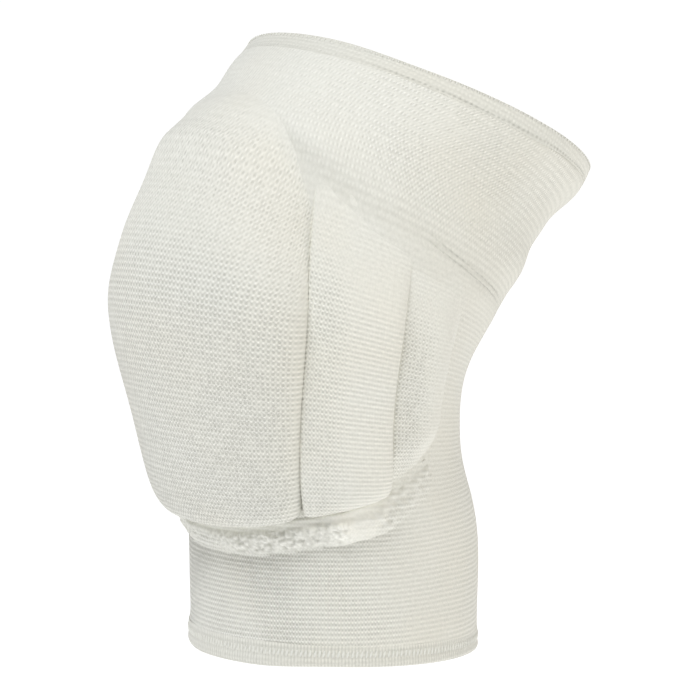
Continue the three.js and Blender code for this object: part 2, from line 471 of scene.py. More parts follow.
def stitches_group():
    """Stitch relief from a place on the knit: beads in rows, slanted ribs, rows and wales, in given amounts. Its Pit
    shade output, the lowness of the relief, is painted shade between the stitches.
    """
    name = "Knit stitches"
    if name in bpy.data.node_groups:
        return bpy.data.node_groups[name]
    number = "NodeSocketFloat"
    takes = [("Place", "NodeSocketVector", None), ("Wale", number, 0.0018), ("Course", number, 0.002)]
    takes += [(kind, number, 0.0) for kind in ("Beads", "Slant", "Rows", "Wales")]
    takes += [("Wobble", number, 0.0003), ("Fine", number, 1.0)]
    group, given, out = new_group(name, takes, [("Height", number), ("Pit shade", number)])
    drift = put(group, "ShaderNodeTexNoise", {"Vector": given["Place"], "Scale": 90.0, "Detail": 2.0})
    centred = put(group, "ShaderNodeVectorMath", {0: drift.outputs["Color"], 1: (0.5, 0.5, 0.5)}, operation="SUBTRACT")
    moved = put(group, "ShaderNodeVectorMath", {0: centred.outputs[0], "Scale": given["Wobble"]}, operation="SCALE")
    place = put(group, "ShaderNodeVectorMath", {0: given["Place"], 1: moved.outputs[0]}, operation="ADD")
    parts = put(group, "ShaderNodeSeparateXYZ", {0: place.outputs[0]}).outputs
    across = sum_up(group, "DIVIDE", parts[0], given["Wale"])
    upward = sum_up(group, "DIVIDE", parts[1], given["Course"])
    x = sum_up(group, "MULTIPLY", across, 2 * math.pi)
    y = sum_up(group, "MULTIPLY", upward, 2 * math.pi)
    rows = sum_up(group, "COSINE", y)
    leaning = sum_up(group, "COSINE", sum_up(group, "ADD", y, 0.5))
    loops = sum_up(group, "MULTIPLY", sum_up(group, "COSINE", x), leaning)
    beads = sum_up(group, "MULTIPLY_ADD", rows, 0.36, sum_up(group, "MULTIPLY", loops, 0.72))
    total = sum_up(group, "MULTIPLY", beads, given["Beads"])
    rising = sum_up(group, "COSINE", sum_up(group, "SUBTRACT", x, y))
    total = sum_up(group, "MULTIPLY_ADD", rising, given["Slant"], total)
    total = sum_up(group, "MULTIPLY_ADD", rows, given["Rows"], total)
    fine = sum_up(group, "MULTIPLY", x, given["Fine"])
    total = sum_up(group, "MULTIPLY_ADD", sum_up(group, "COSINE", fine), given["Wales"], total)
    column = sum_up(group, "ROUND", across)
    course = sum_up(group, "ROUND", upward)
    stitch = put(group, "ShaderNodeCombineXYZ", {0: column, 1: course, 2: 0.0}).outputs[0]
    luck = put(group, "ShaderNodeTexWhiteNoise", {"Vector": stitch}, noise_dimensions="2D").outputs["Value"]
    uneven = sum_up(group, "MULTIPLY_ADD", luck, 0.6, 0.7)
    even = sum_up(group, "MULTIPLY_ADD", sum_up(group, "MULTIPLY", total, uneven), 0.5, 0.5)
    height = sum_up(group, "POWER", sum_up(group, "MAXIMUM", even, 0.0), 1.3)
    # Painted shade between the stitches: the lower the relief, the darker the colour.
    pits = sum_up(group, "SUBTRACT", 1.0, height)
    group.links.new(height, out.inputs["Height"])
    group.links.new(pits, out.inputs["Pit shade"])
    return group


def seam_group():
    """A thin line along a seam: 1 in it and 0 beside it, wandering a little, and broken into dots by Dots."""
    name = "Seam line"
    if name in bpy.data.node_groups:
        return bpy.data.node_groups[name]
    number = "NodeSocketFloat"
    takes = [("Place", "NodeSocketVector", None), ("Offset", number, 0.0), ("Width", number, 0.0003)]
    takes += [("Wander", number, 0.0), ("Spacing", number, 0.0016), ("Dots", number, 0.0)]
    group, given, out = new_group(name, takes, [("Line", number)])
    parts = put(group, "ShaderNodeSeparateXYZ", {0: given["Place"]}).outputs
    length_only = put(group, "ShaderNodeCombineXYZ", {0: parts[0], 1: 0.0, 2: 0.0}).outputs[0]
    drift = put(group, "ShaderNodeTexNoise", {"Vector": length_only, "Scale": 160.0, "Detail": 2.0}).outputs["Fac"]
    sway = sum_up(group, "MULTIPLY", sum_up(group, "SUBTRACT", drift, 0.5), given["Wander"])
    off = sum_up(group, "SUBTRACT", sum_up(group, "SUBTRACT", parts[1], given["Offset"]), sway)
    share_off = sum_up(group, "DIVIDE", off, given["Width"])
    near = sum_up(group, "EXPONENT", sum_up(group, "MULTIPLY", sum_up(group, "MULTIPLY", share_off, share_off), -1.0))
    turn = sum_up(group, "DIVIDE", sum_up(group, "MULTIPLY", parts[0], 2 * math.pi), given["Spacing"])
    dot = sum_up(group, "MULTIPLY_ADD", sum_up(group, "COSINE", turn), 0.5, -0.5)
    broken = sum_up(group, "MULTIPLY_ADD", dot, given["Dots"], 1.0)
    group.links.new(sum_up(group, "MULTIPLY", near, broken), out.inputs["Line"])
    return group


def yarn_group():
    """Colour of the knit: painted shade between the stitches and in creases, painted light where that shade is below
    0, painted warm light where Warmth says, warmer in random patches, with uneven yarn.
    """
    name = "Knit colour"
    if name in bpy.data.node_groups:
        return bpy.data.node_groups[name]
    number, tint = "NodeSocketFloat", "NodeSocketColor"
    takes = [("Place", "NodeSocketVector", None), ("Yarn", tint, None), ("Depth", tint, None), ("Warm", tint, None)]
    takes += [("Pit shade", number, 0.0), ("Painted shade", number, 0.0), ("Warmth", number, 0.0)]
    group, given, out = new_group(name, takes, [("Color", tint)])
    patches = put(group, "ShaderNodeTexNoise", {"Vector": given["Place"], "Scale": 28.0, "Detail": 3.0})
    spread = put(
        group,
        "ShaderNodeMapRange",
        {"Value": patches.outputs["Fac"], "From Min": 0.35, "From Max": 0.75, "To Min": -0.15, "To Max": 0.4},
    )
    warmth = sum_up(group, "ADD", given["Warmth"], spread.outputs[0])
    warmed = put(
        group,
        "ShaderNodeMix",
        {"Factor": warmth, 6: given["Yarn"], 7: given["Warm"]},
        data_type="RGBA",
        clamp_factor=True,
    ).outputs[2]
    flecks = put(group, "ShaderNodeTexNoise", {"Vector": given["Place"], "Scale": 900.0, "Detail": 2.0})
    fleck = sum_up(group, "MULTIPLY_ADD", flecks.outputs["Fac"], 0.35, -0.17)
    # Painted shade from the stitch pits and the tone's shade channel; where that channel is below 0 it paints light.
    shade = sum_up(group, "MULTIPLY_ADD", given["Pit shade"], 0.7, given["Painted shade"])
    deep = sum_up(group, "ADD", shade, fleck)
    shaded = put(
        group,
        "ShaderNodeMix",
        {"Factor": deep, 6: warmed, 7: given["Depth"]},
        data_type="RGBA",
        clamp_factor=True,
    ).outputs[2]
    group.links.new(shaded, out.inputs["Color"])
    return group


def knit_material(name, wale, course, wobble=0.0003, relief=1.0, fine=1.0, seams=(), nubs=0.0):
    """Matt off-white knit whose stitches follow the piece's own UV map and its weave and tone attributes. seams are
    thin lines on the UV map "seam", and nubs the size of the gathered knit's small lumps."""
    if name in bpy.data.materials:
        return bpy.data.materials[name]
    look = settings().knit
    material, tree, shader = new_material(name)
    place = put(tree, "ShaderNodeUVMap", uv_map="knit").outputs[0]
    weave = put(tree, "ShaderNodeAttribute", attribute_name="weave")
    amounts = put(tree, "ShaderNodeSeparateColor", {0: weave.outputs["Color"]}).outputs
    tone = put(tree, "ShaderNodeAttribute", attribute_name="tone")
    tones = put(tree, "ShaderNodeSeparateColor", {0: tone.outputs["Color"]}).outputs
    stitches = put(
        tree,
        "ShaderNodeGroup",
        {
            "Place": place,
            "Wale": wale,
            "Course": course,
            "Beads": amounts[0],
            "Slant": amounts[1],
            "Rows": amounts[2],
            "Wales": tones[2],
            "Wobble": wobble,
            "Fine": fine,
        },
        node_tree=stitches_group(),
    )
    # tones[0] is painted shade, and painted light where it is below 0.
    relief_sum, pits, painted_shade = stitches.outputs["Height"], stitches.outputs["Pit shade"], tones[0]
    if seams:
        beside = put(tree, "ShaderNodeUVMap", uv_map="seam").outputs[0]
        shown = put(tree, "ShaderNodeAttribute", attribute_name="seamed").outputs["Fac"]
    for seam in seams:
        line = put(tree, "ShaderNodeGroup", {"Place": beside, **seam}, node_tree=seam_group()).outputs[0]
        line = sum_up(tree, "MULTIPLY", line, shown)
        relief_sum = sum_up(tree, "MULTIPLY_ADD", line, -0.7, relief_sum)
        # Painted shade along the seam's sunken stitch holes.
        painted_shade = sum_up(tree, "MULTIPLY_ADD", line, 0.3, painted_shade)
    if nubs:
        gathered = put(tree, "ShaderNodeAttribute", attribute_name="gathered").outputs["Fac"]
        cells = put(
            tree, "ShaderNodeTexVoronoi", {"Vector": place, "Scale": 1 / nubs, "Randomness": 0.9}, feature="SMOOTH_F1"
        )
        # Painted shade in the hollows between the nubs, through the pit shade.
        hollow = sum_up(tree, "MULTIPLY", sum_up(tree, "MULTIPLY", cells.outputs["Distance"], 1.3), gathered)
        relief_sum = sum_up(tree, "MULTIPLY_ADD", hollow, -1.3, relief_sum)
        pits = sum_up(tree, "MULTIPLY_ADD", hollow, 0.8, pits)
    colours = put(
        tree,
        "ShaderNodeGroup",
        {
            "Place": place,
            "Yarn": tuple(look.yarn),
            "Depth": tuple(look.depth),
            "Warm": tuple(look.warm),
            "Pit shade": pits,
            "Painted shade": painted_shade,
            "Warmth": tones[1],
        },
        node_tree=yarn_group(),
    )
    tree.links.new(colours.outputs["Color"], shader.inputs["Base Color"])
    fuzz = put(tree, "ShaderNodeTexNoise", {"Vector": place, "Scale": 1500.0, "Detail": 3.0, "Roughness": 0.7})
    height = sum_up(tree, "MULTIPLY_ADD", fuzz.outputs["Fac"], 0.35, relief_sum)
    bump = put(tree, "ShaderNodeBump", {"Strength": 1.0, "Distance": look.relief * relief, "Height": height})
    tree.links.new(bump.outputs[0], shader.inputs["Normal"])
    matt = sum_up(tree, "MULTIPLY_ADD", fuzz.outputs["Fac"], 0.12, 0.86)
    tree.links.new(matt, shader.inputs["Roughness"])
    shader.inputs["Sheen Weight"].default_value = 0.25
    shader.inputs["Sheen Roughness"].default_value = 0.6
    shader.inputs["Specular IOR Level"].default_value = 0.2
    return material


# Making pieces


def panel(columns, rows):
    """A flat panel of mesh, from -1 to 1 both ways."""
    bm = bmesh.new()
    bmesh.ops.create_grid(bm, x_segments=columns, y_segments=rows, size=1.0)
    return bm


def closed_panel(columns, rows):
    """A panel and a copy of it at height 1, joined round their rims."""
    bm = panel(columns, rows)
    raised_part = bmesh.ops.extrude_face_region(bm, geom=bm.faces[:], use_keep_orig=True)
    for made in raised_part["geom"]:
        if isinstance(made, bmesh.types.BMVert):
            made.co.z = 1
    return bm


def layers(bm):
    """The panel's UV map and its weave and tone, made before its vertices are placed."""
    return (
        bm.loops.layers.uv.new("knit"),
        bm.verts.layers.float_color.new("weave"),
        bm.verts.layers.float_color.new("tone"),
    )


def mark(bm, name, values):
    """Gives every vertex its value of a named attribute."""
    layer = bm.verts.layers.float.new(name)
    for vertex, value in zip(bm.verts, values):
        vertex[layer] = float(value)


def lay_seam(bm, across, over):
    """A UV map that runs along a seam and away from it."""
    uv = bm.loops.layers.uv.new("seam")
    bm.verts.ensure_lookup_table()
    for face in bm.faces:
        for loop in face.loops:
            i = loop.vert.index
            loop[uv].uv = (across[i], over[i])


def lay_knit(bm, angle, along, weave, tone, spread=PER_DEGREE):
    """Gives every vertex its place on the flat knit and its weave (beads, slant, rows) and tone (painted shade, which
    is painted light where below 0; warmth, which on the sleeve, pads and roll is painted warm light; wales), each a
    tuple of three arrays or numbers."""
    uv, weave_layer, tone_layer = layers(bm)
    across = angle * spread
    weave = [np.broadcast_to(w, angle.shape) for w in weave]
    tone = [np.broadcast_to(w, angle.shape) for w in tone]
    bm.verts.ensure_lookup_table()
    for i, vertex in enumerate(bm.verts):
        vertex[weave_layer] = (weave[0][i], weave[1][i], weave[2][i], 1)
        vertex[tone_layer] = (tone[0][i], tone[1][i], tone[2][i], 1)
    for face in bm.faces:
        for loop in face.loops:
            i = loop.vert.index
            loop[uv].uv = (across[i], along[i])


def corners_of(bm):
    """Every vertex's coordinates, as an array."""
    bm.verts.index_update()
    return np.array([vertex.co[:] for vertex in bm.verts])


def set_corners(bm, places):
    for vertex, place in zip(bm.verts, places):
        vertex.co = place


def finish_piece(bm, name, material, replaced=(), levels=0, wall=None):
    """Turns a bmesh into a smooth-shaded piece that rides on the body."""
    bmesh.ops.recalc_face_normals(bm, faces=bm.faces[:])
    mesh = bpy.data.meshes.new(name)
    bm.to_mesh(mesh)
    bm.free()
    mesh.shade_smooth()
    mesh.materials.append(material)
    piece = bpy.data.objects.new(name, mesh)
    bpy.context.scene.collection.objects.link(piece)
    if levels:
        subdivide = piece.modifiers.new("Smooth", "SUBSURF")
        subdivide.levels = levels
        subdivide.render_levels = levels
    if wall:
        thick = piece.modifiers.new("Wall", "SOLIDIFY")
        thick.thickness = wall
        thick.offset = -1
    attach(piece, BODY)
    if replaced:
        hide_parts(*replaced)
    return piece


def seam_line(angle):
    return between(UPPER_SEAM, "angle", "along", np.abs(angle))


def sleeve_relief(angle, along, look):
    """How far the sleeve's outer face stands out or dips: folds, the seam over the pads, swells and puckers."""
    turn = np.abs(angle)
    x = turn * PER_DEGREE
    over = along - seam_line(angle)
    relief = 0.0004 * wander(x, along, 0.045, 1)
    drift = 0.0022 * wander(x, along * 0.3, 0.05, 2)
    for fold in BACK_FOLDS:
        middle = fold["along"] + fold["climb"] * (1 - step_up(130, 180, turn)) + drift
        dip = ridge(along, middle, fold["width"])
        lip = ridge(along, middle + 1.9 * fold["width"], 1.3 * fold["width"])
        behind = step_up(fold["start"] - 14, fold["start"] + 16, turn)
        relief += look.fold * fold["depth"] * behind * (0.55 * lip - dip)
    valley = ridge(over, 0, 0.0026)
    relief -= 0.0004 * valley * (1 - 0.7 * step_up(100, 150, turn))
    puff = ridge(over, -0.0045, 0.003) * step_up(50, 60, turn) * (1 - step_up(105, 120, turn))
    relief += 0.0006 * puff
    for swell in SLEEVE_SWELLS:
        begun = step_up(swell["first"] - swell["fade"], swell["first"] + swell["fade"], turn)
        ended = step_up(swell["last"] - swell["fade"], swell["last"] + swell["fade"], turn)
        relief += swell["height"] * begun * (1 - ended) * ridge(along, swell["along"], swell["width"])
    crowd = ridge(over, 0.001, 0.0035) * step_up(26, 36, turn) * (1 - step_up(58, 72, turn))
    crowd += 0.7 * ridge(over, 0.0, 0.0035) * (1 - step_up(8, 18, turn))
    crowd += ridge(along, -0.034 + 0.0003 * (turn - 80), 0.005) * step_up(70, 76, turn) * (1 - step_up(94, 104, turn))
    relief += look.pucker * crowd * wander(x, along, 0.0042, 5)
    under = along - (lower_edge(angle) - GATHER_GAP - GATHER_HEIGHT)
    relief -= 0.0004 * ridge(under, -0.0006, 0.0016) * (1 - step_up(70, 95, turn))
    return relief * to_hems(angle, along)


def to_hems(angle, along):
    """1 on the sleeve and 0 at both of its ends, where it runs flush into the hems."""
    level = 2 * along - slanted(angle, along)
    return step_up(0.0, HEM_FADE, level + SHIN_LENGTH) * step_up(0.0, HEM_FADE, THIGH_LENGTH - level)


def sleeve_weave(angle, along):
    """The sleeve's stitches: beads and rows on the calf, slanted ribs on the thigh, and rows behind the knee."""
    turn = np.abs(angle)
    thigh = step_up(0.036, 0.050, along)
    calf = 1 - step_up(-0.052, -0.040, along)
    knee = 1 - thigh - calf
    frontal = 1 - step_up(40, 85, turn)
    rear = step_up(70, 110, turn)
    over = along - seam_line(angle)
    plain = 1 - 0.6 * ridge(over, -0.004, 0.006)
    patchy = 0.85 + 0.3 * wander(turn * PER_DEGREE, along, 0.03, 6)
    front = 1 - step_up(18, 42, turn)
    beads = thigh * (0.46 - 0.30 * front) + calf * (0.16 + 0.85 * frontal) + knee * 0.16
    slant = thigh * 0.22 * (1 - frontal) * (1 - rear)
    rows = calf * (0.22 + 0.03 * frontal) + knee * 0.14 + thigh * 0.1 * rear
    wales = thigh * (0.14 + 0.10 * frontal - 0.08 * front)
    return beads * plain * patchy, slant * plain, rows * plain, wales * plain


# Painted warm light: the knit grows warmer from the front towards the sides and back.
def painted_warm_light(angle):
    return 0.3 * step_up(20, 120, np.abs(angle))


def knit_along(along, closeness=1.0):
    """Where along the leg is on the flat knit. Its rows lie further apart where the thigh stretches them, and below
    that as close as closeness says."""
    over = np.maximum(along - KNIT_STRETCH_START, 0)
    below = np.minimum(along, KNIT_STRETCH_START) - KNIT_STRETCH_START
    return KNIT_STRETCH_START + below * closeness + THIGH_STRETCH * over


class KNEEPAD_OT_knit_sleeve(bpy.types.Operator):
    """Knit the sleeve that the leg goes through"""

    bl_idname = "kneepad.knit_sleeve"
    bl_label = "Knit sleeve"

    def execute(self, context):
        given = settings()
        bm = panel(144, 78)
        flat = corners_of(bm)
        angle = flat[:, 0] * 180
        along = -SHIN_LENGTH + (SHIN_LENGTH + THIGH_LENGTH) * (flat[:, 1] + 1) / 2
        along = slanted(angle, along)
        relief = sleeve_relief(angle, along, given.sleeve)
        beads, slant, rows, wales = sleeve_weave(angle, along)
        over = along - seam_line(angle)
        turn = np.abs(angle)
        # Painted shade: darker towards the back of the leg, in the fold dips behind the knee and along the seam valley
        # over the pads.
        shaded = 0.05 * step_up(95, 125, turn)
        fold_shade = np.clip(-relief / 0.002 - 0.35, 0, 0.3) * step_up(90, 120, turn) * (1 - step_up(0.034, 0.044, along))
        painted_shade = 0.08 * ridge(over, 0, 0.003) + fold_shade + shaded
        under = along - (lower_edge(angle) - GATHER_GAP - GATHER_HEIGHT)
        # Painted shadow in a band under the gathered roll.
        painted_shade += 0.13 * ridge(under, -0.0012, 0.0036) * (1 - step_up(50, 85, turn))
        warmth = painted_warm_light(angle)
        # Painted light over the front of the upper thigh.
        painted_shade -= 0.09 * step_up(0.040, 0.055, along) * (1 - step_up(40, 100, turn))
        lay_knit(bm, angle, knit_along(along), (beads, slant, rows), (painted_shade, warmth, wales))
        lay_seam(bm, angle * PER_DEGREE, over)
        mark(bm, "seamed", 0.7 * step_up(72, 84, turn) * (1 - step_up(114, 132, turn)))
        set_corners(bm, raised(angle, along, WALL_THICKNESS + relief))
        bmesh.ops.remove_doubles(bm, verts=bm.verts[:], dist=0.00001)
        tuck = {"Width": 0.00026, "Wander": 0.0014, "Spacing": 0.0027, "Dots": 0.55}
        seams = [{"Offset": offset, **tuck} for offset in (-0.0008, 0.001)]
        material = knit_material("sleeve knit", given.knit.wale, given.knit.course, relief=1.3, seams=seams)
        finish_piece(bm, "sleeve", material, ["knit_sleeve"], levels=1, wall=WALL_THICKNESS)
        return {"FINISHED"}


def swell_as_cloth(piece, held, look):
    """Lets a closed pad swell as cloth under pressure, then keeps its shape. held is 1 where a vertex stays put."""
    mesh = piece.data
    start = np.array([vertex.co[:] for vertex in mesh.vertices])
    group = piece.vertex_groups.new(name="held")
    for i in np.nonzero(held)[0]:
        group.add([int(i)], float(held[i]), "REPLACE")
    cloth = piece.modifiers.new("Swell", "CLOTH")
    fabric = cloth.settings
    fabric.quality = 6
    fabric.mass = 0.25
    fabric.tension_stiffness = 12
    fabric.compression_stiffness = 12
    fabric.shear_stiffness = 5
    fabric.bending_stiffness = 0.6
    fabric.use_pressure = True
    fabric.uniform_pressure_force = look.pressure
    fabric.effector_weights.gravity = 0
    fabric.vertex_group_mass = "held"
    cloth.point_cache.frame_start = 1
    cloth.point_cache.frame_end = SWELL_FRAMES
    scene = bpy.context.scene
    for number in range(1, SWELL_FRAMES + 1):
        scene.frame_set(number)
    evaluated = piece.evaluated_get(bpy.context.evaluated_depsgraph_get())
    moved = np.array([vertex.co[:] for vertex in evaluated.data.vertices])
    piece.modifiers.remove(cloth)
    piece.vertex_groups.remove(group)
    scene.frame_set(1)
    shift = moved - start
    size = np.linalg.norm(shift, axis=1, keepdims=True)
    shift *= np.minimum(1, look.reach / np.maximum(size, 1e-9))
    mesh.vertices.foreach_set("co", (start + shift).astype(np.float32).ravel())
    mesh.update()
    print(f"{piece.name} swelled by up to {1000 * float(size.max()):.1f} mm")


def sew_pad(name, columns, rows, place, height, blend, weave, tone, replaced, over=0.0):
    """A closed padded pocket seated on the sleeve. place, height, blend, weave and tone take shares across and up the
    pad, -1 to 1, and up to 1 + over at its top. blend is 1 where the pocket runs into the sleeve's own knit."""
    given = settings()
    bm = closed_panel(columns, rows)
    flat = corners_of(bm)
    u = np.sin(flat[:, 0] * math.pi / 2)
    v = np.sin(flat[:, 1] * math.pi / 2)
    p = u * (1 - CORNER_PULL * v**CORNER_POWER)
    q = v * (1 - CORNER_PULL * u**CORNER_POWER) + over * step_up(0.2, 1.0, v)
    angle, along = place(p, q)
    top = flat[:, 2] > 0.5
    joined = blend(u, q)
    relief = sleeve_relief(angle, along, given.sleeve)
    seat = WALL_THICKNESS + CLEARANCE
    flush = WALL_THICKNESS + relief - POCKET_FLAP_DEPTH
    full = height(u, q)
    start = given.pads.start
    base = seat * (1 - joined) + flush * joined
    over_base = base + np.maximum(full * start, RIM_HEIGHT * (1 - joined))
    lift = np.where(top, over_base, np.minimum(seat + np.maximum(relief, 0), over_base - 0.0002))
    painted_shade, warmth, wales = tone(u, q)
    woven = [own * (1 - joined) + sleeve * joined for own, sleeve in zip(weave(u, q), sleeve_weave(angle, along))]
    warmth = warmth * (1 - joined) + painted_warm_light(angle) * joined
    lay_knit(bm, angle, knit_along(along, PAD_CLOSENESS), woven, (painted_shade, warmth, wales * (1 - joined)))
    set_corners(bm, raised(angle, along, lift))
    rim = (np.abs(u) > 0.999) | (np.abs(v) > 0.999)
    held = np.maximum(np.where(~top | rim, 1.0, 0.0), step_up(0.0, 1.0, joined))
    material = knit_material("pad knit", given.knit.wale, given.knit.course, relief=1.3, fine=1.5)
    piece = finish_piece(bm, name, material, replaced, levels=2)
    piece.modifiers["Smooth"].show_viewport = False
    swell_as_cloth(piece, held, given.pads)
    piece.modifiers["Smooth"].show_viewport = True
    return piece


def kneecap_height(u, q):
    """The kneecap pad stands blunt at its sides and lower edge, and runs softly into the sleeve at its top."""
    upper = step_up(0.14, 0.84, q)
    blunt = dome(u, 6) * np.where(q < 0, dome(np.clip(q, -1, 0), 14), 1)
    soft = 1 - step_up(0.28, 1.0, np.abs(u))
    rim = blunt * (1 - upper) + soft * upper
    crown = between(KNEECAP_PAD_SHAPE, "along", "height", q) * (1 + 0.05 * ridge(q, 0.15, 0.3))
    shelf = (1 - 0.08 * step_up(0.42, 0.66, q)) * (1 - step_up(0.76, 1.14, q))
    return KNEECAP_PAD_THICKNESS * rim * crown * shelf


class KNEEPAD_OT_kneecap_pad(bpy.types.Operator):
    """Sew and fill the crowned pad over the kneecap"""

    bl_idname = "kneepad.kneecap_pad"
    bl_label = "Kneecap pad"

    def execute(self, context):
        def place(p, q):
            angle = p * kneecap_edge(q)
            return angle, up_the_pocket(angle, q)

        def blend(u, q):
            return step_up(0.8, 1.1, q)

        def weave(u, q):
            upper = step_up(0.1, 0.5, q)
            outer = np.where(u < 0, step_up(0.74, 0.9, -u), step_up(0.86, 0.97, u))
            beads = (1.15 - 0.85 * upper) * (1 - 0.85 * outer)
            rows = 0.08 + 0.3 * outer
            return beads, 0.02 + 0.16 * upper, rows * (1 - 0.8 * upper)

        def tone(u, q):
            # Painted light towards the pad's top, and painted warm light towards its sides.
            upper = step_up(0.25, 0.6, q)
            return -0.06 * upper, 0.05 + 0.2 * np.abs(u), 0.22 * upper

        sew_pad("kneecap_cover", 34, 44, place, kneecap_height, blend, weave, tone, ["kneecap_pad"], KNEECAP_RUN)
        return {"FINISHED"}


def around_knee(distance):
    return math.degrees(distance / (KNEE_SIZE / 2))


FRONT_SIDE_PAD_END = KNEECAP_PAD_ANGLE + around_knee(PAD_SEAM + FRONT_SIDE_PAD_WIDTH)
REAR_SIDE_PAD_START = FRONT_SIDE_PAD_END + around_knee(PAD_SEAM)
REAR_SIDE_PAD_END = REAR_SIDE_PAD_START + around_knee(REAR_SIDE_PAD_WIDTH)


def sew_side_pad(name, side, start, end, height, fading, replaced):
    """A side pad on one side, 1 for +X and -1 for -X, between two edges round the leg. fading is 1 if its rear edge
    runs into the sleeve, and 0 if it ends in a ridge."""

    def place(p, q):
        first = start(q)
        angle = first + (end - first) * (side * p + 1) / 2
        return side * angle, up_the_pocket(angle, q)

    def blend(u, q):
        low = fading * step_up(-0.8, -1.0, q)
        return np.maximum(np.maximum(step_up(0.75, 1.1, q), low), fading * step_up(0.35, 0.95, side * u))

    def weave(u, q):
        back = side * u
        valley = 1 - step_up(-0.55, 0.1, back)
        upper = step_up(0.35, 0.8, q)
        beads = (0.05 + 0.85 * valley) * (1 - 0.7 * upper) * (1 - fading * step_up(-0.2, 0.4, back))
        return beads, 0 * u, (0.12 + 0.2 * (1 - valley)) * (1 - 0.8 * upper) * (1 - 0.6 * fading)

    def tone(u, q):
        # Painted light over the whole pad, more in the shaded valley at its front edge, and painted warm light towards
        # its back.
        back = side * u
        shaded = step_up(-0.4, -0.95, back) * (1 - step_up(0.3, 0.9, q))
        return -0.04 - 0.06 * shaded, 0.25 + 0.15 * back, 0.04 + 0 * u

    def over_seat(u, q):
        return height(side * u, q)

    return sew_pad(name, 14, 32, place, over_seat, blend, weave, tone, replaced, SIDE_RUN)


def front_side_height(back, v):
    """The front side pad climbs from the groove beside the kneecap pad to a ridge at its rear edge."""
    climb = 0.58 + 0.42 * step_up(-1.0, 0.75, back)
    edge = dome(np.minimum(back, 0), 40) * dome(np.maximum(back, 0), 9)
    ends = np.where(v < 0, dome(np.clip(v, -1, 0), 7), 1 - step_up(0.3, 1.2, v))
    return FRONT_SIDE_PAD_THICKNESS * climb * edge * ends


def rear_side_height(back, v):
    """The rear side pad climbs from the groove to a low crown and fades towards the back."""
    climb = 0.8 + 0.2 * step_up(-1.0, -0.05, back)
    fade = 1 - step_up(0.0, 1.0, back)
    edge = dome(np.minimum(back, 0), 40)
    ends = np.where(v < 0, step_up(-1.0, -0.55, v), 1 - step_up(0.1, 1.15, v))
    return REAR_SIDE_PAD_THICKNESS * climb * fade * edge * ends


class KNEEPAD_OT_side_pads(bpy.types.Operator):
    """Sew and fill the two upright pads on each side"""

    bl_idname = "kneepad.side_pads"
    bl_label = "Side pads"

    def execute(self, context):
        def beside_kneecap(share):
            return kneecap_edge(share) - around_knee(KNEECAP_OVERLAP)

        def beside_front_pad(share):
            return FRONT_SIDE_PAD_END - around_knee(SIDE_OVERLAP) + 0 * share

        for name, side in (("right", 1), ("left", -1)):
            sew_side_pad(
                f"front_side_cover_{name}",
                side,
                beside_kneecap,
                FRONT_SIDE_PAD_END,
                front_side_height,
                0,
                [f"side_pad_front_{name}"],
            )
            sew_side_pad(
                f"rear_side_cover_{name}",
                side,
                beside_front_pad,
                REAR_SIDE_PAD_END,
                rear_side_height,
                1,
                [f"side_pad_rear_{name}"],
            )
        return {"FINISHED"}


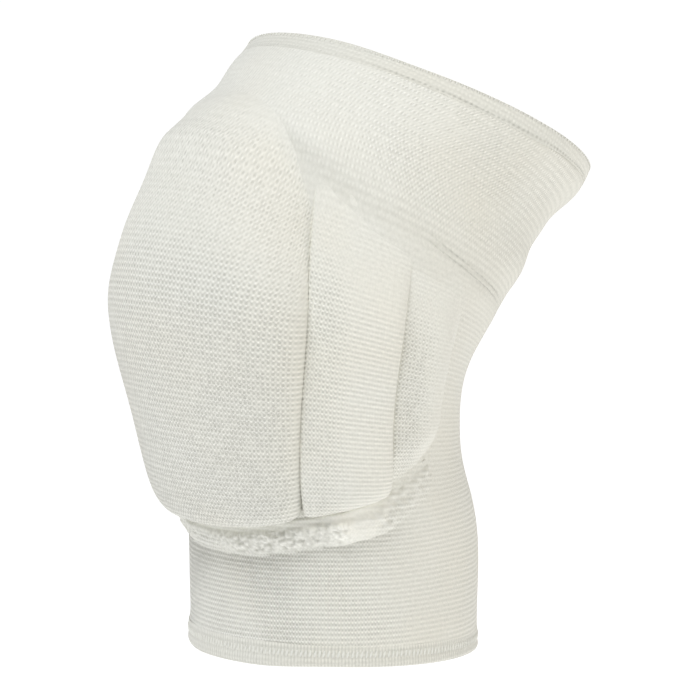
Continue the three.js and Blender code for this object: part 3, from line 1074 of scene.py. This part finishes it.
class KNEEPAD_OT_lower_gather(bpy.types.Operator):
    """Gather the knit into the lumpy roll under the pads"""

    bl_idname = "kneepad.lower_gather"
    bl_label = "Lower gather"

    def execute(self, context):
        given = settings()
        bm = closed_panel(400, 23)
        flat = corners_of(bm)
        u, w = flat[:, 0], (1 - flat[:, 1]) / 2
        reach = GATHER_GAP + GATHER_HEIGHT + GATHER_SPARE
        angle = u * GATHER_ANGLE
        along = lower_edge(angle) + 0.0004 - w * reach
        turn = np.abs(angle)
        x = angle * PER_DEGREE
        ends = dome(u, 6)
        front = (1 - step_up(52, 60, turn)) * ends
        plain_middle = 1 - 0.85 * ridge(angle, -8, 12)
        puffy = step_up(46, 54, turn) * (1 - step_up(60, 78, turn))
        crown = step_up(0.14, 0.46, w) * (1 - step_up(0.5, 1.0, w))
        top_edge = step_up(0.0, 0.06, w) * (1 - step_up(0.3, 0.5, w))
        lumps = bobbles(x, along, given.gather.lump, 11)
        lumpy = front * plain_middle * step_up(0.18, 0.32, w) * (1 - step_up(0.78, 0.99, w))
        lift = front * (0.0009 * top_edge + crown * (0.0019 + 0.0006 * wander(x, along, 0.012, 12)))
        lift += lumpy * given.gather.depth * (lumps - 0.4)
        lift += puffy * (0.0017 * crown + 0.0010 * top_edge) * (1 + 0.2 * wander(x, along, 0.008, 14))
        tucks = step_up(60, 72, turn) * ends * step_up(0.0, 0.3, w) * (1 - step_up(0.7, 1.0, w))
        lift += tucks * (0.0006 + 0.0005 * wander(x, along, 0.004, 13))
        relief = sleeve_relief(angle, along, given.sleeve)
        rim = (w < 0.001) | (w > 0.999) | (np.abs(u) > 0.999)
        surface = WALL_THICKNESS + relief + np.maximum(lift, 0.00003) - np.where(rim, FLAP_DEPTH, 0)
        top = flat[:, 2] > 0.5
        height = np.where(top, surface, surface - 0.0004 - np.maximum(lift, 0) * 0.6)
        # Painted shade in the pits between the lumps and along the roll's lower edge; painted light on the lumps and
        # the puff.
        pits = np.clip(0.3 * lumpy * (0.6 - lumps), 0, 1)
        painted_shade = pits - 0.38 * lumpy - 0.2 * puffy + 0.1 * step_up(0.7, 0.95, w) * front
        frontal = 1 - step_up(40, 85, turn)
        plain = (1 - lumpy) * (1 - 0.75 * puffy)
        beads = (0.3 + 0.5 * frontal) * (1 - 0.8 * top_edge) * plain
        lay_knit(bm, angle, knit_along(along), (beads, 0 * u, 0.2 * plain), (painted_shade, painted_warm_light(angle), 0 * u))
        mark(bm, "gathered", lumpy)
        set_corners(bm, raised(angle, along, height))
        knit = given.knit
        material = knit_material("gathered knit", knit.wale, knit.course, 0.0006, 1.3, nubs=given.gather.nub)
        finish_piece(bm, "gathered_roll", material, ["lower_gather"], levels=1)
        return {"FINISHED"}


# A hem's outline, going round its section from the sleeve's end: out is its height over the middle of the wall, as a
# share of half its thickness, and up is a share of its height from the sleeve's end on
CALF_HEM_OUTLINE = table(
    "out up",
    (0.73, -0.22),
    (0.78, -0.08),
    (0.80, 0.18),
    (0.76, 0.42),
    (0.86, 0.6),
    (0.92, 0.78),
    (0.66, 0.94),
    (0.0, 1.0),
    (-0.7, 0.94),
    (-0.9, 0.7),
    (-0.8, 0.3),
    (-0.73, 0.02),
    (0.5, -0.05),
    (0.62, -0.20),
)
THIGH_HEM_OUTLINE = table(
    "out up",
    (0.73, -0.08),
    (0.79, 0.1),
    (0.86, 0.3),
    (0.90, 0.52),
    (0.84, 0.74),
    (0.62, 0.9),
    (0.35, 0.97),
    (0.0, 1.0),
    (-0.6, 0.95),
    (-0.9, 0.75),
    (-0.85, 0.4),
    (-0.73, 0.02),
    (0.5, -0.02),
    (0.62, -0.06),
)


def hem_growth(angle):
    """How much taller the hems are at an angle: the leg stretches them most at the front."""
    return 1 + HEM_GROWTH * (1 - step_up(15, 50, np.abs(angle)))


def knit_hem(name, sleeve_end, height, outline, ribs, shade, seams, replaced):
    """A ring of doubled knit past one end of the sleeve. height is negative below the knee, ribs is how strongly its
    wales stand out, shade is how much painted shade darkens its colour, and seams are the lines of stitch holes on it."""
    bm = panel(300, 3 * len(outline))
    flat = corners_of(bm)
    angle = flat[:, 0] * 180
    turn = (flat[:, 1] + 1) / 2 * len(outline)
    looped = outline + outline[:1]
    rows = tuple({"at": i, **row} for i, row in enumerate(looped))
    out = between(rows, "at", "out", turn)
    up = between(rows, "at", "up", turn)
    x = angle * PER_DEGREE
    level = np.full(angle.shape, float(sleeve_end))
    along = slanted(angle, level) + up * height * hem_growth(angle)
    lift = WALL_THICKNESS / 2 + out * HEM_THICKNESS / 2
    inside = turn > len(outline) / 2
    flat_along = along + np.where(inside, 0.02, 0) + out * 0.001
    # Painted shade over the hem, deeper near the sleeve's end behind the stitches.
    painted_shade = shade * (0.6 + 0.4 * step_up(0.45, 0.2, up)) * step_up(-0.2, 0.0, up)
    lay_knit(bm, angle, flat_along, (0.12 + 0 * x, 0 * x, 0.1 + 0 * x), (painted_shade, 0.15 + 0 * x, ribs + 0 * x))
    lay_seam(bm, x, along - slanted(angle, level))
    mark(bm, "seamed", np.where(inside, 0, 0.35 + 0.65 * step_up(15, 55, np.abs(angle))))
    set_corners(bm, raised(angle, along, lift))
    bmesh.ops.remove_doubles(bm, verts=bm.verts[:], dist=0.00002)
    material = knit_material(f"{name} knit", 0.0012, 0.0016, seams=seams)
    return finish_piece(bm, name, material, replaced, levels=1)


def thread_material():
    """Off-white overlock thread, shaded along its plies."""
    name = "overlock thread"
    if name in bpy.data.materials:
        return bpy.data.materials[name]
    material, tree, shader = new_material(name)
    where = put(tree, "ShaderNodeTexCoord").outputs["Object"]
    plies = put(tree, "ShaderNodeTexNoise", {"Vector": where, "Scale": 1100.0, "Detail": 2.0})
    ramp = put(tree, "ShaderNodeMapRange", {"Value": plies.outputs["Fac"], "To Min": 0.72, "To Max": 0.86})
    blue = put(tree, "ShaderNodeMath", {0: ramp.outputs[0], 1: 0.93}, operation="MULTIPLY")
    tinted = put(tree, "ShaderNodeCombineColor", {0: ramp.outputs[0], 1: ramp.outputs[0], 2: blue.outputs[0]})
    tree.links.new(tinted.outputs[0], shader.inputs["Base Color"])
    bump = put(tree, "ShaderNodeBump", {"Distance": 0.0001, "Height": plies.outputs["Fac"]})
    tree.links.new(bump.outputs[0], shader.inputs["Normal"])
    shader.inputs["Roughness"].default_value = 0.6
    shader.inputs["Sheen Weight"].default_value = 0.2
    return material


def stitch_row(bm, sleeve_end, rise, lift, size, slant, spacing, seed):
    """A ring of short slanted threads round the leg. size is (length, width, thickness)."""
    random = np.random.default_rng(seed)
    turns = int(round(math.pi * KNEE_SIZE / spacing))
    for i in range(turns):
        angle = np.array([-180 + 360 * (i + random.uniform(-0.1, 0.1)) / turns])
        along = slanted(angle, np.array([sleeve_end])) + rise * hem_growth(angle)
        centre = raised(angle, along, np.array([lift]))[0]
        out = facing(angle, along)[0]
        beyond = raised(angle, along + 0.0005, np.array([lift]))[0]
        up = (beyond - centre) / np.linalg.norm(beyond - centre)
        side = np.cross(up, out)
        tilt = slant + random.uniform(-0.08, 0.08)
        along_thread = up * math.cos(tilt) + side * math.sin(tilt)
        across = np.cross(along_thread, out)
        turned = Matrix((along_thread, across, out)).transposed().to_4x4()
        scaled = Matrix.Diagonal((size[0] / 2, size[1] / 2, size[2] / 2, 1))
        bmesh.ops.create_uvsphere(
            bm, u_segments=6, v_segments=6, radius=1.0, matrix=Matrix.Translation(centre) @ turned @ scaled
        )


class KNEEPAD_OT_hems(bpy.types.Operator):
    """Knit both hems and overlock them"""

    bl_idname = "kneepad.hems"
    bl_label = "Hems"

    def execute(self, context):
        given = settings().hems
        knit_hem("calf_hem_band", -SHIN_LENGTH, -CALF_HEM_HEIGHT, CALF_HEM_OUTLINE, 0.28, 0.12, (), ["calf_hem"])
        holes = {"Width": 0.00035, "Spacing": given.spacing, "Dots": 0.8, "Wander": 0.0004}
        seams = ({"Offset": 0.0004, **holes}, {"Offset": THIGH_HEM_HEIGHT - 0.0007, **holes})
        knit_hem("thigh_hem_band", THIGH_LENGTH, THIGH_HEM_HEIGHT, THIGH_HEM_OUTLINE, 0.1, 0.04, seams, ["thigh_hem"])
        size = (given.stitch, given.thread, 0.00045)
        over_knit = WALL_THICKNESS + 0.0002
        bm = bmesh.new()
        stitch_row(bm, -SHIN_LENGTH, -0.0014, over_knit, size, 0.25, given.spacing, 31)
        finish_piece(bm, "calf_hem_stitches", thread_material())
        small = (0.0011, 0.0005, 0.00035)
        bm = bmesh.new()
        stitch_row(bm, THIGH_LENGTH, THIGH_HEM_HEIGHT - 0.0009, over_knit, small, -0.2, given.spacing, 33)
        finish_piece(bm, "thigh_hem_stitches", thread_material())
        return {"FINISHED"}


def paper_material():
    """Pale paper for the floor, faintly mottled."""
    material, tree, shader = new_material("studio paper")
    where = put(tree, "ShaderNodeTexCoord").outputs["Object"]
    mottle = put(tree, "ShaderNodeTexNoise", {"Vector": where, "Scale": 6.0, "Detail": 2.0})
    paper = settings().stage.paper
    tinted = put(
        tree,
        "ShaderNodeMix",
        {"Factor": mottle.outputs["Fac"], 6: tuple(paper), 7: tuple(0.99 * c for c in paper[:3]) + (1,)},
        data_type="RGBA",
    )
    tree.links.new(tinted.outputs[2], shader.inputs["Base Color"])
    shader.inputs["Roughness"].default_value = 0.9
    shader.inputs["Emission Color"].default_value = (1, 1, 1, 1)
    shader.inputs["Emission Strength"].default_value = PAPER_GLOW
    return material


def add_lamp(name, place, target, size, power, tint):
    """A soft square lamp that faces the target."""
    lamp = bpy.data.lights.new(name, "AREA")
    lamp.shape = "SQUARE"
    lamp.size = size
    lamp.energy = power
    lamp.color = tint
    held = bpy.data.objects.new(name, lamp)
    held.location = place
    held.rotation_euler = (Vector(place) - Vector(target)).to_track_quat("Z", "Y").to_euler()
    bpy.context.scene.collection.objects.link(held)


class KNEEPAD_OT_stage(bpy.types.Operator):
    """Set up the floor, the lamps and the camera"""

    bl_idname = "kneepad.stage"
    bl_label = "Stage"

    def execute(self, context):
        given = settings().stage
        scene = context.scene
        target = Vector((0.0, 0.002, 0.003))
        away = Vector((math.sin(given.azimuth), -math.cos(given.azimuth), 0.0))
        beside = Vector((math.cos(given.azimuth), math.sin(given.azimuth), 0.0))
        up = Vector((0.0, 0.0, 1.0))

        lens = bpy.data.cameras.new("Camera")
        lens.lens = given.lens
        lens.sensor_width = 36
        lens.clip_start = 0.05
        lens.dof.use_dof = False
        camera = bpy.data.objects.new("Camera", lens)
        back = away * math.cos(given.elevation) + up * math.sin(given.elevation)
        camera.location = target + back * given.distance
        camera.rotation_euler = back.to_track_quat("Z", "Y").to_euler()
        scene.collection.objects.link(camera)
        scene.camera = camera

        bm = bmesh.new()
        bmesh.ops.create_grid(bm, x_segments=8, y_segments=8, size=6.0)
        bmesh.ops.translate(bm, verts=bm.verts[:], vec=(0, 0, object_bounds()[0].z - given.drop))
        mesh = bpy.data.meshes.new("Floor")
        bm.to_mesh(mesh)
        bm.free()
        mesh.materials.append(paper_material())
        floor = bpy.data.objects.new("Floor", mesh)
        scene.collection.objects.link(floor)
        floor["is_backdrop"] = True

        above = target + away * 0.65 - beside * 0.4 + up * 1.3
        right = target + away * 0.35 + beside * 1.0 + up * 0.45
        add_lamp("Key", above, target, 0.6, given.key, (0.97, 0.985, 1.0))
        add_lamp("Side", right, target, 0.6, given.side, (1.0, 0.92, 0.78))
        surround = bpy.data.worlds.new("Surround")
        surround.use_nodes = True
        background = surround.node_tree.nodes["Background"]
        background.inputs["Color"].default_value = (1, 1, 1, 1)
        background.inputs["Strength"].default_value = given.sky
        scene.world = surround
        scene.view_settings.view_transform = "Standard"
        return {"FINISHED"}


OPERATORS = (
    KNEEPAD_OT_knit_sleeve,
    KNEEPAD_OT_hems,
    KNEEPAD_OT_kneecap_pad,
    KNEEPAD_OT_side_pads,
    KNEEPAD_OT_lower_gather,
    KNEEPAD_OT_stage,
)


class KNEEPAD_PT_panel(bpy.types.Panel):
    """Lists what makes the knee pad and the settings it follows"""

    bl_idname = "KNEEPAD_PT_panel"
    bl_label = "Knee pad"
    bl_space_type = "VIEW_3D"
    bl_region_type = "UI"
    bl_category = "Knee pad"

    def draw(self, context):
        for operator in OPERATORS:
            self.layout.operator(operator.bl_idname)
        given = settings()
        for name in ("knit", "pads", "sleeve", "gather", "hems", "stage"):
            box = self.layout.box()
            box.label(text=name.capitalize())
            group = getattr(given, name)
            for key in group.__annotations__:
                box.prop(group, key)


CLASSES = GROUPS + (KneePadSettings,) + OPERATORS + (KNEEPAD_PT_panel,)


def register():
    for made in CLASSES:
        bpy.utils.register_class(made)
    bpy.types.Scene.knee_pad = bpy.props.PointerProperty(type=KneePadSettings)


def unregister():
    del bpy.types.Scene.knee_pad
    for made in reversed(CLASSES):
        bpy.utils.unregister_class(made)


def main():
    register()
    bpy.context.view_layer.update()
    bpy.ops.kneepad.knit_sleeve()
    bpy.ops.kneepad.hems()
    bpy.ops.kneepad.kneecap_pad()
    bpy.ops.kneepad.side_pads()
    bpy.ops.kneepad.lower_gather()
    bpy.ops.kneepad.stage()


if __name__ == "__main__":
    main()
